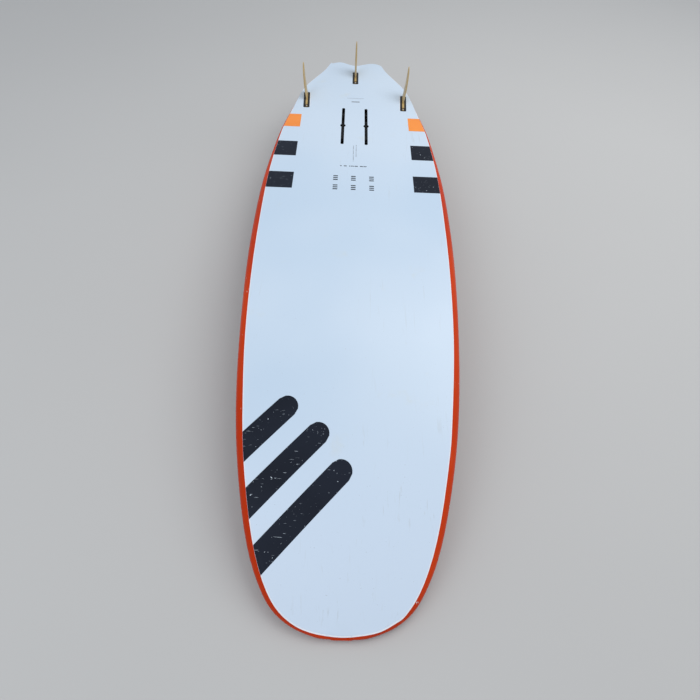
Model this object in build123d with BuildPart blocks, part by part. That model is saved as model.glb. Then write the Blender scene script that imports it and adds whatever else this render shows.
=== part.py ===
from build123d import *
from math import cos, radians, sin, sqrt, tan
import os

# A compact windsurf board, lying bottom up on its nose and front footstraps.
# +Z is up, -Y is the nose, +Y is the tail, +X is the starboard rail.
# The origin is on the ground, under the middle of the board.

# ---- driving dimensions, millimetres ----
LENGTH = 2250.0
BOTTOM_HEIGHT = 219.18
SKIN = 3.0
PAD_THICKNESS = 8.0

NOSE_SCOOP = 203.0
SCOOP_END = 1008.0
SCOOP_POWER = 2.4
TAIL_KICK = 13.0
KICK_START = 1720.0

# Hull stations: distance from the nose, half width of the rail, half width of the
# flat bottom, thickness on the centre line, depth of the rail's widest point.
STATIONS = [
    (0, 22, 14, 17, 8.0),
    (2, 41, 31, 18, 8.5),
    (8, 72, 60, 20, 9.5),
    (18, 102, 89, 24, 11),
    (35, 134, 121, 30, 13),
    (60, 163, 149, 38, 16),
    (95, 187, 172, 47, 19),
    (140, 209, 192, 57, 22),
    (200, 229.5, 211, 68, 25),
    (280, 249, 229, 80, 27),
    (380, 268, 247, 91, 29),
    (500, 284, 261, 101, 30),
    (650, 297, 275, 110, 31),
    (820, 308, 285, 116, 31),
    (1000, 317, 292, 119, 31),
    (1180, 320, 295, 120, 31),
    (1360, 316, 294, 118, 29),
    (1540, 300, 284, 112, 24),
    (1700, 277, 267, 104, 16),
    (1850, 245, 240, 91, 9),
    (2000, 212, 208, 75, 7),
    (2110, 163, 159, 60, 6.5),
    (2210, 124, 120, 45, 6),
    (2310, 96, 92, 32, 6),
]
NOSE_ROUND = 8.0
NOSE_EDGE = 0.45
NOSE_SHIFT_END = 100.0
FLAT_GROWTH = 0.6
# Points on the domed deck, as shares of the half width and of the depth.
DOME = [(0.82, 0.65), (0.5, 0.91)]
TUCK_SLOPE = -0.35
SEAM = 2.0
SEAM_DEPTH = 5.0
SEAM_NOSE = [(0, 4.5), (30, 6.2), (60, 10.2), (92, 19.0)]
SEAM_NOSE_END = 20.0
SEAM_BREAKS = (0, 6, 12, 18, 28, 34, 40, 46)

TAIL_CORNER = (125.0, 2208.0)
TAIL_SHOULDER = (108.0, 2236.0)
TAIL_TIP = (80.0, 2248.4)
TAIL_FLANK = (38.0, 2235.0)
TAIL_NOTCH = (0.0, 2219.0)
TAIL_ENTRY = (-0.45, 1)

# Foil tracks: two slots at the standard spacing.
TRACK_SPACING = 90.0
TRACK_CENTRE = 1698.0
TRACK_SLOT_LENGTH = 255.0
TRACK_SLOT = 10.2
TRACK_LIP = 0.8
TRACK_BODY_WIDTH = 26.0
TRACK_DEPTH = 26.0
TRACK_SHOULDER = 4.0
TRACK_LIP_DEPTH = 8.0
TRACK_GROOVE = 19.0
TRACK_GROOVE_HEIGHT = 7.0
GROOVE_CORNER = 2.0
TRACK_ENTRY_RADIUS = 9.7
TRACK_END = 8.0
NUT_SPACING = 165.0
NUT_BASE_RADIUS = 9.2
NUT_BASE = 5.6
NUT_CLEARANCE = 0.4
NUT_NECK = 9.6
NUT_NECK_HEIGHT = 6.5
NUT_HOLE_RADIUS = 3.4
MAST_TRACK_CENTRE = 1010.0

# Fin boxes.
SIDE_BOX_X = 198.0
SIDE_BOX_CENTRE = 1884.0
CENTER_BOX_CENTRE = 2093.0
TOE_IN = 2.5
FIN_BOX_WIDTH = 25.0
SIDE_BOX_LENGTH = 125.0
CENTER_BOX_LENGTH = 114.0
FIN_BOX_DEPTH = 22.0
FIN_BOX_CORNER = 6.0
FIN_SLOT = 8.4
FIN_SLOT_DEPTH = 18.0
FIN_SLOT_END = 6.5
FIN_GROOVE = 13.2
FIN_GROOVE_TOP = 11.0
FIN_GROOVE_HEIGHT = 4.6

# Fins.
FIN_BASE = 8.0
FIN_GAP = 6.0
FIN_PLAY = 16.0
FIN_TAB = 13.0
FIN_TAB_TOP = 3.0
FIN_TAB_BOTTOM = 10.0
FIN_PROUD = 1.4
FIN_BASE_CORNER = 1.5
FIN_BASE_GAP = 0.6
FIN_SCREW_RADIUS = 2.0
FIN_SCREW_GAP = 0.3
FIN_SCREW_LENGTH = 12.0
FIN_HEAD_RADIUS = 3.5
FIN_HEAD = 2.6
FIN_HEAD_CHAMFER = 0.7
FIN_CROSS = (4.2, 1.0)
FIN_CROSS_DEPTH = 1.4
FIN_NUT_LENGTH = 12.0
FIN_NUT = 3.6
FIN_NUT_GAP = 0.4
FIN_NUT_DROP = 0.3
FIN_PIN_RADIUS = 2.0
FIN_PIN_INSET = 8.0
SIDE_FIN_DEPTH = 105.0
CENTER_FIN_DEPTH = 110.0
SIDE_FIN_CANT = 6.3
# How much steeper a side fin leans at its root than on average.
CANT_CURVE = 1.9
# Fin sections: share of the depth, leading edge and chord in shares of the depth,
# and thickness in millimetres.
FIN_SECTIONS = [
    (0.0, -0.10, 0.70, 7.6),
    (0.25, 0.06, 0.64, 7.6),
    (0.5, 0.20, 0.56, 7.2),
    (0.75, 0.38, 0.45, 6.2),
    (0.93, 0.55, 0.32, 4.6),
    (1.0, 0.66, 0.18, 2.8),
]
FIN_THICKEST = 0.38
FIN_TRAILING = 0.12

# Footstraps.
STRAP_SCREW_REACH = 82.0
STRAP_END_REACH = 94.0
STRAP_LEG_REACH = 61.0
STRAP_TOP_REACH = 55.0
COVER_START = 34.0
STRAP_WIDTH = 48.0
STRAP_THICKNESS = 3.0
COVER_WIDTH = 64.0
COVER_THICKNESS = 13.0
STRAP_BEND = 10.0
STRAP_CORNER = 48.0
STRAP_SCREW_RADIUS = 2.5
STRAP_SCREW_GAP = 0.2
STRAP_SCREW_SHORT = 4.0
STRAP_CROSS = (6.4, 1.3)
STRAP_HEAD_RADIUS = 6.0
STRAP_HEAD = 3.4
WASHER_RADIUS = 10.0
WASHER = 2.0
PLUG_RADIUS = 7.0
PLUG_DEPTH = 28.0
FRONT_STRAP_X = 140.0
FRONT_STRAP_DISTANCE = 1405.0
FRONT_STRAP_TURN = 60.0
FRONT_STRAP_TOP = 99.08
REAR_STRAP_DISTANCE = 1755.0
REAR_STRAP_TOP = 92.0
FRONT_PAD = (150.0, 1408.0, 205.0, 262.0)
REAR_PAD = (0.0, 1775.0, 320.0, 310.0)
PAD_CORNER = 48.0
PAD_REACH = 60.0
PAD_RELIEF = 0.3

# High-density foam around the tracks.
FOIL_BLOCK = (150.0, 315.0, 62.0)
MAST_BLOCK = (92.0, 315.0, 62.0)
BLOCK_OVERLAP = 10.0

# Air vent.
VENT_DISTANCE = 760.0
VENT_RADIUS = 11.0
VENT_DEPTH = 24.0
VENT_SEAT_RADIUS = 8.2
VENT_SEAT = 4.0
VENT_FLOOR = 3.0
VENT_SCREW_RADIUS = 5.0
VENT_SCREW_LENGTH = 16.0
VENT_SLOT = (11.0, 1.8)
VENT_SLOT_DEPTH = 1.4
VENT_HEAD_RADIUS = 7.6
VENT_HEAD = 2.4
SEAL_RING = 6.4
SEAL_WIRE = 0.95
SEAL_GAP = 0.05

FIT = 0.02
OPEN = 4.0
FAR = 1000.0
STEP = 5.0
SIDE_STEP = 15.0
PROBE_TOP = 130.0
DISC_PLANE_REACH = 10.0
os.makedirs("parts", exist_ok=True)


def save(piece, label):
    """Names a finished piece and writes it as one STEP file."""
    piece.label = label
    export_step(piece, f"parts/{label}.step")


def along(distance):
    """Y of a place given by its distance from the nose."""
    return distance - LENGTH / 2


def bottom_z(distance):
    """Height of the running surface, with the nose scoop and the tail kick."""
    scoop = NOSE_SCOOP * max(0.0, 1 - distance / SCOOP_END) ** SCOOP_POWER
    kick = TAIL_KICK * max(0.0, (distance - KICK_START) / (LENGTH - KICK_START)) ** 2
    return BOTTOM_HEIGHT - scoop - kick


def bottom_plane(x, distance, turn=0.0):
    """Plane on the running surface: local Y runs aft, local Z out of the board."""
    rise = (bottom_z(distance + STEP) - bottom_z(distance - STEP)) / (2 * STEP)
    aft = (sin(radians(turn)), cos(radians(turn)), rise)
    across = (cos(radians(turn)), -sin(radians(turn)), 0)
    return Plane((x, along(distance), bottom_z(distance)), across, Vector(across).cross(Vector(aft)))


# ---- hull ----
def hull_section(station, grow):
    """Half a cross-section of the hull, grown outwards by grow millimetres."""
    distance, rail, flat, thickness, apex = station
    if distance < NOSE_ROUND:
        share = max(NOSE_EDGE, sqrt(1 - (1 - distance / NOSE_ROUND) ** 2))
    else:
        share = 1.0
    drop = (1 - share) * thickness / 2
    depth = thickness * share + 2 * grow
    low_rail = apex * share + grow
    wide = rail + grow
    edge = flat + FLAT_GROWTH * grow
    shift = grow * max(0.0, 1 - distance / NOSE_SHIFT_END)
    top = bottom_z(distance) - drop + grow
    dome = [(wide * x, -low_rail - (depth - low_rail) * z) for x, z in DOME]
    plane = Plane((0, along(distance) - shift, top), (1, 0, 0), (0, -1, 0))
    with BuildSketch(plane) as section:
        with BuildLine():
            Line((0, 0), (edge, 0))
            Spline((edge, 0), (wide, -low_rail), tangents=((1, TUCK_SLOPE), (0, -1)))
            Spline((wide, -low_rail), *dome, (0, -depth), tangents=((0, -1), (-1, 0)))
            Line((0, -depth), (0, 0))
        make_face()
    return section.sketch


def tail_waste(grow):
    """What the swallow tail leaves out behind the board."""
    with BuildPart() as waste:
        with BuildSketch(Plane.XY.offset(BOTTOM_HEIGHT + FAR / 4)):
            with BuildLine():
                points = [TAIL_CORNER, TAIL_SHOULDER, TAIL_TIP, TAIL_FLANK, TAIL_NOTCH]
                right = [(x, along(d)) for x, d in points]
                left = [(-x, y) for x, y in reversed(right[:-1])]
                Spline(right + left, tangents=(TAIL_ENTRY, (TAIL_ENTRY[0], -TAIL_ENTRY[1])))
                Polyline(
                    left[-1],
                    (-FAR / 3, left[-1][1]),
                    (-FAR / 3, LENGTH / 2 + FAR / 4),
                    (FAR / 3, LENGTH / 2 + FAR / 4),
                    (FAR / 3, right[0][1]),
                    right[0],
                )
            make_face()
        extrude(amount=-FAR / 2)
    return waste.part.moved(Location((0, grow, 0)))


def hull_shape(grow):
    """The whole board as one solid, grown outwards by grow millimetres."""
    with BuildPart() as shape:
        loft([hull_section(station, grow) for station in STATIONS])
        mirror(about=Plane.YZ)
        add(tail_waste(grow), mode=Mode.SUBTRACT)
    return shape.part


def smooth_spans(points, breaks):
    """Splines through the points, one for each span between breaks, that meet smoothly."""
    last = len(points) - 1
    steps = [Vector(points[min(i + 1, last)]) - Vector(points[max(i - 1, 0)]) for i in range(last + 1)]
    for start, end in zip(breaks, breaks[1:]):
        Spline(points[start : end + 1], tangents=(steps[start], steps[end]))


def seam_block():
    """The space inside the seam line, down to a little below the bottom skin."""
    inside = [(flat + SEAM, along(d)) for d, _, flat, _, _ in STATIONS if d > SEAM_NOSE_END]
    front = [(x, along(d)) for x, d in SEAM_NOSE]
    right = front + inside
    left = [(-x, y) for x, y in reversed(right[1:])]
    floor = [(along(d), bottom_z(d) - SEAM_DEPTH) for d, _, _, _, _ in STATIONS]
    with BuildPart() as block:
        with BuildSketch(Plane.YZ):
            with BuildLine():
                Spline(floor)
                Polyline(floor[-1], (floor[-1][0], FAR / 2), (floor[0][0], FAR / 2), floor[0])
            make_face()
        extrude(amount=FAR / 2, both=True)
        with BuildSketch(Plane.XY):
            with BuildLine():
                smooth_spans(left + right, SEAM_BREAKS)
                Line(right[-1], left[0])
            make_face()
        extrude(amount=FAR / 2, mode=Mode.INTERSECT)
    return block.part


def deck_point(x, y):
    """Point on the deck, which is the underside, at a place given in the row frame."""
    line = Edge.make_line((x, y, -FAR), (x, y, PROBE_TOP))
    return Vector(line.intersect(hull).vertices().sort_by(Axis.Z)[0])


def deck_plane(x, distance, turn, reach):
    """Plane on the deck, facing out: local X runs turn degrees from +X, over 2 x reach."""
    run = (cos(radians(turn)), sin(radians(turn)))
    y = along(distance)
    ends = [deck_point(x + s * reach * run[0], y + s * reach * run[1]) for s in (-1, 1)]
    sides = [deck_point(x - s * SIDE_STEP * run[1], y + s * SIDE_STEP * run[0]) for s in (-1, 1)]
    out = (sides[1] - sides[0]).cross(ends[1] - ends[0])
    return Plane((ends[0] + ends[1]) * 0.5, ends[1] - ends[0], out)


# ---- tracks ----
def track_outside(plane, above=0.0):
    """Outer shape of a track: a narrow neck through the skin and a wide body below."""
    with BuildPart() as outside:
        with BuildSketch(plane.offset(above)):
            SlotOverall(TRACK_SLOT_LENGTH + 2 * TRACK_LIP, TRACK_SLOT + 2 * TRACK_LIP, rotation=90)
            Circle(TRACK_ENTRY_RADIUS + TRACK_LIP)
        extrude(amount=-above - TRACK_SHOULDER)
        with BuildSketch(plane.offset(-TRACK_SHOULDER)):
            RectangleRounded(TRACK_BODY_WIDTH, TRACK_SLOT_LENGTH + 2 * TRACK_END, TRACK_END)
        extrude(amount=TRACK_SHOULDER - TRACK_DEPTH)
    return outside.part


def track(plane):
    """A track with its T-shaped slot and the round hole where the nuts drop in."""
    deep = TRACK_LIP_DEPTH + TRACK_GROOVE_HEIGHT
    with BuildPart() as piece:
        add(track_outside(plane))
        with BuildSketch(plane):
            SlotOverall(TRACK_SLOT_LENGTH, TRACK_SLOT, rotation=90)
            Circle(TRACK_ENTRY_RADIUS)
        extrude(amount=-deep, mode=Mode.SUBTRACT)
        with BuildSketch(plane.offset(-TRACK_LIP_DEPTH)):
            RectangleRounded(TRACK_GROOVE, TRACK_SLOT_LENGTH, GROOVE_CORNER)
        extrude(amount=-TRACK_GROOVE_HEIGHT, mode=Mode.SUBTRACT)
    return piece.part


def track_nut(plane, shift):
    """One threaded nut in the track's groove, shift millimetres aft of the middle."""
    with BuildPart() as nut:
        with BuildSketch(plane.offset(-TRACK_LIP_DEPTH - NUT_BASE - NUT_CLEARANCE)):
            with Locations((0, shift)):
                Circle(NUT_BASE_RADIUS)
        extrude(amount=NUT_BASE)
        with BuildSketch(plane.offset(-TRACK_LIP_DEPTH - NUT_CLEARANCE)):
            with Locations((0, shift)):
                Rectangle(NUT_NECK, NUT_NECK)
        extrude(amount=NUT_NECK_HEIGHT)
        with BuildSketch(plane):
            with Locations((0, shift)):
                Circle(NUT_HOLE_RADIUS)
        extrude(amount=-TRACK_DEPTH, mode=Mode.SUBTRACT)
    return nut.part


# ---- fins and their boxes ----
def fin_box_outside(plane, length, above=0.0):
    """Outer shape of a fin box."""
    with BuildPart() as outside:
        with BuildSketch(plane.offset(above)):
            RectangleRounded(FIN_BOX_WIDTH, length, FIN_BOX_CORNER)
        extrude(amount=-above - FIN_BOX_DEPTH)
    return outside.part


def fin_box(plane, length):
    """A fin box: a slot for the fin's base over a groove for its nut and pin."""
    slot = length - 2 * FIN_SLOT_END
    with BuildPart() as box:
        add(fin_box_outside(plane, length))
        with BuildSketch(plane):
            RectangleRounded(FIN_SLOT, slot, GROOVE_CORNER)
        extrude(amount=-FIN_SLOT_DEPTH, mode=Mode.SUBTRACT)
        with BuildSketch(plane):
            with Locations((0, -slot / 2 + FIN_GROOVE / 2)):
                RectangleRounded(FIN_GROOVE, FIN_GROOVE, GROOVE_CORNER)
        extrude(amount=-FIN_GROOVE_TOP, mode=Mode.SUBTRACT)
        with BuildSketch(plane.offset(-FIN_GROOVE_TOP)):
            RectangleRounded(FIN_GROOVE, slot, GROOVE_CORNER)
        extrude(amount=-FIN_GROOVE_HEIGHT, mode=Mode.SUBTRACT)
    return box.part


def blade_section(plane, depth, cant, section):
    """One foil-shaped section of a fin's blade."""
    share, lead, chord, thick = section
    lean = share * depth * tan(radians(cant)) * (CANT_CURVE - (CANT_CURVE - 1) * share)
    front = lead * depth
    long = chord * depth
    half = thick / 2
    tail = half * FIN_TRAILING
    widest = front + FIN_THICKEST * long
    with BuildSketch(plane.offset(FIN_PROUD / 2 + share * depth)) as foil:
        with BuildLine():
            Spline(
                (lean + tail, front + long),
                (lean + half, widest),
                (lean, front),
                (lean - half, widest),
                (lean - tail, front + long),
            )
            Line((lean - tail, front + long), (lean + tail, front + long))
        make_face()
    return foil.sketch


def base_ends(box_length):
    """Front and rear end of a fin's base, along its box."""
    slot = box_length - 2 * FIN_SLOT_END
    return FIN_GAP - slot / 2, FIN_GAP - FIN_PLAY + slot / 2


def fin(plane, depth, cant, box_length):
    """A fin: a swept foil blade on a flat base with a step for its screw."""
    front, rear = base_ends(box_length)
    with BuildPart() as piece:
        with BuildSketch(plane.offset(FIN_PROUD)):
            with Locations((0, (front + rear) / 2)):
                RectangleRounded(FIN_BASE, rear - front, FIN_BASE_CORNER)
        extrude(amount=FIN_BASE_GAP - FIN_PROUD - FIN_SLOT_DEPTH)
        with BuildSketch(plane.offset(FIN_PROUD)):
            with Locations((0, front)):
                Rectangle(2 * FIN_BASE, 2 * FIN_TAB)
        extrude(amount=-FIN_PROUD - FIN_TAB_TOP, mode=Mode.SUBTRACT)
        with BuildSketch(plane.offset(-FIN_TAB_BOTTOM)):
            with Locations((0, front)):
                Rectangle(2 * FIN_BASE, 2 * FIN_TAB)
        extrude(amount=-FIN_SLOT_DEPTH, mode=Mode.SUBTRACT)
        loft([blade_section(plane, depth, cant, s) for s in FIN_SECTIONS])
        with BuildSketch(plane):
            with Locations((0, front + FIN_TAB / 2)):
                Circle(FIN_SCREW_RADIUS + FIN_SCREW_GAP)
        extrude(amount=-FIN_SLOT_DEPTH, mode=Mode.SUBTRACT)
        add(fin_pin(plane, box_length), mode=Mode.SUBTRACT)
    return piece.part


def fin_pin(plane, box_length):
    """The pin across a fin's base that runs in the box's groove."""
    height = FIN_GROOVE_TOP + FIN_GROOVE_HEIGHT / 2
    centre = plane.from_local_coords((0, base_ends(box_length)[1] - FIN_PIN_INSET, -height))
    with BuildPart() as pin:
        with BuildSketch(Plane(centre, plane.y_dir, plane.x_dir)):
            Circle(FIN_PIN_RADIUS)
        extrude(amount=FIN_GROOVE / 2 - FIN_NUT_GAP, both=True)
    return pin.part


def fin_screw(plane, box_length):
    """Pan-head screw with a cross recess, through the fin's step into the nut."""
    y = base_ends(box_length)[0] + FIN_TAB / 2
    with BuildPart() as screw:
        with BuildSketch(plane.offset(-FIN_TAB_TOP)):
            with Locations((0, y)):
                Circle(FIN_HEAD_RADIUS)
        extrude(amount=FIN_HEAD)
        chamfer(screw.faces().sort_by(Axis.Z)[-1].edges(), FIN_HEAD_CHAMFER)
        with BuildSketch(plane.offset(-FIN_TAB_TOP)):
            with Locations((0, y)):
                Circle(FIN_SCREW_RADIUS)
        extrude(amount=-FIN_SCREW_LENGTH)
        with BuildSketch(plane.offset(FIN_HEAD - FIN_TAB_TOP)):
            with Locations((0, y)):
                Rectangle(*FIN_CROSS)
                Rectangle(*reversed(FIN_CROSS))
        extrude(amount=-FIN_CROSS_DEPTH, mode=Mode.SUBTRACT)
    return screw.part


def fin_nut(plane, box_length):
    """Square nut plate in the box's groove."""
    y = base_ends(box_length)[0] + FIN_TAB / 2
    with BuildPart() as nut:
        with BuildSketch(plane.offset(-FIN_GROOVE_TOP - FIN_NUT_DROP)):
            with Locations((0, y)):
                RectangleRounded(FIN_GROOVE - 2 * FIN_NUT_GAP, FIN_NUT_LENGTH, GROOVE_CORNER / 2)
                Circle(FIN_SCREW_RADIUS + FIT, mode=Mode.SUBTRACT)
        extrude(amount=-FIN_NUT)
    return nut.part


# ---- footstraps ----
def strap_profile_plane(plane):
    """Plane of a strap's arch: local X along the strap, local Y out of the deck."""
    return Plane(plane.origin, plane.x_dir, plane.x_dir.cross(plane.z_dir))


def strap_webbing(plane, top):
    """The webbing: two flat feet and an arch between them, with a hole in each foot."""
    foot = PAD_THICKNESS + STRAP_THICKNESS / 2
    corners = [
        (-STRAP_END_REACH, foot),
        (-STRAP_LEG_REACH, foot),
        (-STRAP_TOP_REACH, top),
        (STRAP_TOP_REACH, top),
        (STRAP_LEG_REACH, foot),
        (STRAP_END_REACH, foot),
    ]
    with BuildPart() as webbing:
        with BuildSketch(strap_profile_plane(plane)):
            with BuildLine():
                FilletPolyline(corners, radius=[STRAP_BEND, STRAP_CORNER, STRAP_CORNER, STRAP_BEND])
            trace(line_width=STRAP_THICKNESS)
        extrude(amount=STRAP_WIDTH / 2, both=True)
        with BuildSketch(plane):
            with GridLocations(2 * STRAP_SCREW_REACH, 0, 2, 1):
                Circle(STRAP_SCREW_RADIUS + STRAP_SCREW_GAP)
        extrude(amount=2 * foot, mode=Mode.SUBTRACT)
    return webbing.part


def strap_cover(plane, top, webbing):
    """The padded sleeve over the arch."""
    foot = PAD_THICKNESS + STRAP_THICKNESS / 2
    share = (COVER_START - foot) / (top - foot)
    reach = STRAP_LEG_REACH + (STRAP_TOP_REACH - STRAP_LEG_REACH) * share
    corners = [(-reach, COVER_START), (-STRAP_TOP_REACH, top), (STRAP_TOP_REACH, top), (reach, COVER_START)]
    with BuildPart() as cover:
        with BuildSketch(strap_profile_plane(plane)):
            with BuildLine():
                FilletPolyline(corners, radius=[STRAP_CORNER, STRAP_CORNER])
            trace(line_width=COVER_THICKNESS)
        extrude(amount=COVER_WIDTH / 2, both=True)
        add(webbing, mode=Mode.SUBTRACT)
    return cover.part


def strap_turned(plane, start, end, radius, hole=0.0):
    """A round piece at both screws of a strap, from start to end above the deck."""
    with BuildPart() as pieces:
        with BuildSketch(plane.offset(start)):
            with GridLocations(2 * STRAP_SCREW_REACH, 0, 2, 1):
                Circle(radius)
                if hole:
                    Circle(hole, mode=Mode.SUBTRACT)
        extrude(amount=end - start)
    return pieces.part


def strap_screws(plane):
    """Two pan-head screws with cross recesses."""
    head = PAD_THICKNESS + STRAP_THICKNESS + WASHER
    with BuildPart() as screws:
        add(strap_turned(plane, head, head + STRAP_HEAD, STRAP_HEAD_RADIUS))
        add(strap_turned(plane, STRAP_SCREW_SHORT - PLUG_DEPTH, head, STRAP_SCREW_RADIUS))
        with BuildSketch(plane.offset(head + STRAP_HEAD)):
            with GridLocations(2 * STRAP_SCREW_REACH, 0, 2, 1):
                Rectangle(*STRAP_CROSS)
                Rectangle(*reversed(STRAP_CROSS))
        extrude(amount=-STRAP_HEAD / 2, mode=Mode.SUBTRACT)
    return screws.part


def pad(outline, cuts):
    """A deck pad that follows the deck inside a rounded outline."""
    x, distance, wide, long = outline
    with BuildPart() as piece:
        with BuildSketch(Plane.XY.offset(-FAR / 4)):
            with Locations((x, along(distance))):
                RectangleRounded(wide, long, PAD_CORNER)
        extrude(amount=FAR / 4 + BOTTOM_HEIGHT - PAD_REACH)
        add(pad_limit, mode=Mode.INTERSECT)
        add(hull, mode=Mode.SUBTRACT)
        for cut in cuts:
            add(cut, mode=Mode.SUBTRACT)
    return piece.part


# ---- vent ----
def vent_disc(plane, start, end, radius, hole=0.0):
    """A turned piece on the vent's axis, from start to end above the deck."""
    with BuildPart() as piece:
        with BuildSketch(plane.offset(start)):
            Circle(radius)
            if hole:
                Circle(hole, mode=Mode.SUBTRACT)
        extrude(amount=end - start)
    return piece.part


def vent_housing(plane):
    """Threaded sleeve with a seat for the seal."""
    with BuildPart() as piece:
        add(vent_disc(plane, -VENT_DEPTH, 0, VENT_RADIUS))
        add(vent_disc(plane, -VENT_SEAT, 0, VENT_SEAT_RADIUS), mode=Mode.SUBTRACT)
        bore = vent_disc(plane, VENT_FLOOR - VENT_DEPTH, 0, VENT_SCREW_RADIUS + FIT)
        add(bore, mode=Mode.SUBTRACT)
    return piece.part


def vent_screw(plane):
    """Slotted vent screw."""
    under = 2 * (SEAL_WIRE + SEAL_GAP) - VENT_SEAT
    with BuildPart() as piece:
        add(vent_disc(plane, under, under + VENT_HEAD, VENT_HEAD_RADIUS))
        add(vent_disc(plane, under - VENT_SCREW_LENGTH, under, VENT_SCREW_RADIUS))
        with BuildSketch(plane.offset(under + VENT_HEAD)):
            Rectangle(*VENT_SLOT)
        extrude(amount=-VENT_SLOT_DEPTH, mode=Mode.SUBTRACT)
    return piece.part


def vent_seal(plane):
    """O-ring between the screw's head and its seat."""
    centre = plane.from_local_coords((0, 0, SEAL_WIRE + SEAL_GAP - VENT_SEAT))
    with BuildPart() as piece:
        with BuildSketch(Plane(centre, plane.x_dir, plane.x_dir.cross(plane.z_dir))):
            with Locations((SEAL_RING, 0)):
                Circle(SEAL_WIRE)
        revolve(axis=Axis(centre, plane.z_dir))
    return piece.part


def foam_block(plane, size):
    """A block of dense foam under the skin around a track."""
    wide, long, deep = size
    with BuildPart() as block:
        with BuildSketch(plane.offset(BLOCK_OVERLAP)):
            Rectangle(wide, long)
        extrude(amount=-BLOCK_OVERLAP - deep)
        add(core, mode=Mode.INTERSECT)
    return block.part


# ---- the pieces of the board ----
hull = hull_shape(0)
core = hull_shape(-SKIN)
pad_limit = hull_shape(PAD_THICKNESS)

port_track_plane = bottom_plane(-TRACK_SPACING / 2, TRACK_CENTRE)
starboard_track_plane = bottom_plane(TRACK_SPACING / 2, TRACK_CENTRE)
mast_plane = deck_plane(0, MAST_TRACK_CENTRE, 0, DISC_PLANE_REACH)
vent_plane = deck_plane(0, VENT_DISTANCE, 0, DISC_PLANE_REACH)
FIN_PLACES = {
    "left": (bottom_plane(-SIDE_BOX_X, SIDE_BOX_CENTRE, -TOE_IN), -1),
    "right": (bottom_plane(SIDE_BOX_X, SIDE_BOX_CENTRE, TOE_IN), 1),
    "center": (bottom_plane(0, CENTER_BOX_CENTRE), 0),
}
STRAP_PLACES = {
    "front_left": (-FRONT_STRAP_X, FRONT_STRAP_DISTANCE, 180 - FRONT_STRAP_TURN, FRONT_STRAP_TOP),
    "front_right": (FRONT_STRAP_X, FRONT_STRAP_DISTANCE, FRONT_STRAP_TURN, FRONT_STRAP_TOP),
    "rear": (0, REAR_STRAP_DISTANCE, 0, REAR_STRAP_TOP),
}
PAD_PLACES = {
    "front_left": (-FRONT_PAD[0], *FRONT_PAD[1:]),
    "front_right": FRONT_PAD,
    "rear": REAR_PAD,
}

bottom_pockets = [track_outside(port_track_plane, OPEN), track_outside(starboard_track_plane, OPEN)]
deck_pockets = [track_outside(mast_plane, OPEN), vent_disc(vent_plane, -VENT_DEPTH, OPEN, VENT_RADIUS)]

save(track(port_track_plane), "left_foil_track")
save(track(starboard_track_plane), "right_foil_track")
save(track(mast_plane), "mast_track")
for side, plane in (("left", port_track_plane), ("right", starboard_track_plane)):
    for end, shift in (("front", -NUT_SPACING / 2), ("rear", NUT_SPACING / 2)):
        save(track_nut(plane, shift), f"{end}_{side}_foil_nut")

for side, (plane, lean) in FIN_PLACES.items():
    length = SIDE_BOX_LENGTH if lean else CENTER_BOX_LENGTH
    depth = SIDE_FIN_DEPTH if lean else CENTER_FIN_DEPTH
    bottom_pockets.append(fin_box_outside(plane, length, OPEN))
    save(fin_box(plane, length), f"{side}_fin_box")
    save(fin(plane, depth, lean * SIDE_FIN_CANT, length), f"{side}_fin")
    save(fin_screw(plane, length), f"{side}_fin_screw")
    save(fin_nut(plane, length), f"{side}_fin_nut")
    save(fin_pin(plane, length), f"{side}_fin_pin")

for place, (x, distance, turn, top) in STRAP_PLACES.items():
    plane = deck_plane(x, distance, turn, STRAP_SCREW_REACH)
    webbing = strap_webbing(plane, top)
    seat = PAD_THICKNESS + STRAP_THICKNESS
    plugs = strap_turned(plane, -PLUG_DEPTH, 0, PLUG_RADIUS, STRAP_SCREW_RADIUS + FIT)
    washers = strap_turned(plane, seat, seat + WASHER, WASHER_RADIUS, STRAP_SCREW_RADIUS + STRAP_SCREW_GAP)
    relief = webbing.moved(Location(plane.z_dir * -PAD_RELIEF))
    clear = strap_turned(plane, -OPEN, 2 * seat, PLUG_RADIUS)
    deck_pockets.append(strap_turned(plane, -PLUG_DEPTH, PAD_THICKNESS, PLUG_RADIUS))
    save(webbing, f"{place}_strap_webbing")
    save(strap_cover(plane, top, webbing), f"{place}_strap_cover")
    save(plugs, f"{place}_strap_plugs")
    save(washers, f"{place}_strap_washers")
    save(strap_screws(plane), f"{place}_strap_screws")
    save(pad(PAD_PLACES[place], [webbing, relief, clear]), f"{place}_pad")

save(vent_housing(vent_plane), "vent_housing")
save(vent_screw(vent_plane), "vent_screw")
save(vent_seal(vent_plane), "vent_seal")

seam = seam_block()
with BuildPart() as bottom_skin:
    add(hull)
    add(core, mode=Mode.SUBTRACT)
    add(seam, mode=Mode.INTERSECT)
    for pocket in bottom_pockets:
        add(pocket, mode=Mode.SUBTRACT)
save(bottom_skin.part, "bottom_skin")

with BuildPart() as deck_skin:
    add(hull)
    add(core, mode=Mode.SUBTRACT)
    add(seam, mode=Mode.SUBTRACT)
    for pocket in bottom_pockets + deck_pockets:
        add(pocket, mode=Mode.SUBTRACT)
save(deck_skin.part, "deck_skin")

blocks = {
    "foil_track_block": foam_block(bottom_plane(0, TRACK_CENTRE), FOIL_BLOCK),
    "mast_track_block": foam_block(mast_plane, MAST_BLOCK),
}
for label, block in blocks.items():
    with BuildPart() as piece:
        add(block)
        for pocket in bottom_pockets + deck_pockets:
            add(pocket, mode=Mode.SUBTRACT)
    save(piece.part, label)

with BuildPart() as foam_core:
    add(core)
    for pocket in [*blocks.values(), *bottom_pockets, *deck_pockets]:
        add(pocket, mode=Mode.SUBTRACT)
save(foam_core.part, "foam_core")
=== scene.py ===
import math

import bmesh
import bpy
from mathutils import Matrix, Vector
from mathutils.bvhtree import BVHTree


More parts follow.
